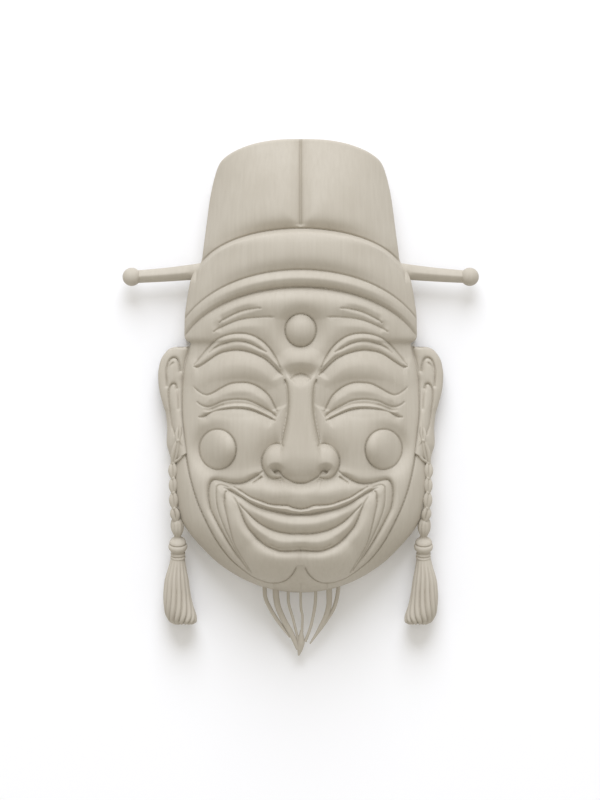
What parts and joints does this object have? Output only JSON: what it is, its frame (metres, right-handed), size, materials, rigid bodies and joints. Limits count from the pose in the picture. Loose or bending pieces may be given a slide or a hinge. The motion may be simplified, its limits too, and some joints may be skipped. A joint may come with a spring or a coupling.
{
  "type": "hahoe mask",
  "caption": "Carved smiling face mask with an official's hat, side wings, long ears, knotted cords with tassels and a thin beard, hollow at the back, lying face up.",
  "frame": {"origin": "middle of the mask's box, on the surface that its back rim rests on", "axes": "+Z out of the face, +Y towards the top of the hat, +X towards the mask's left ear as it looks up"},
  "size_m": [0.2364, 0.3431, 0.0607],
  "materials": {
    "carved_wood": "matt ground coat, unpainted"
  },
  "bodies": {
    "root": {"hahoe_mask": "carved_wood"}
  },
  "joints": []
}
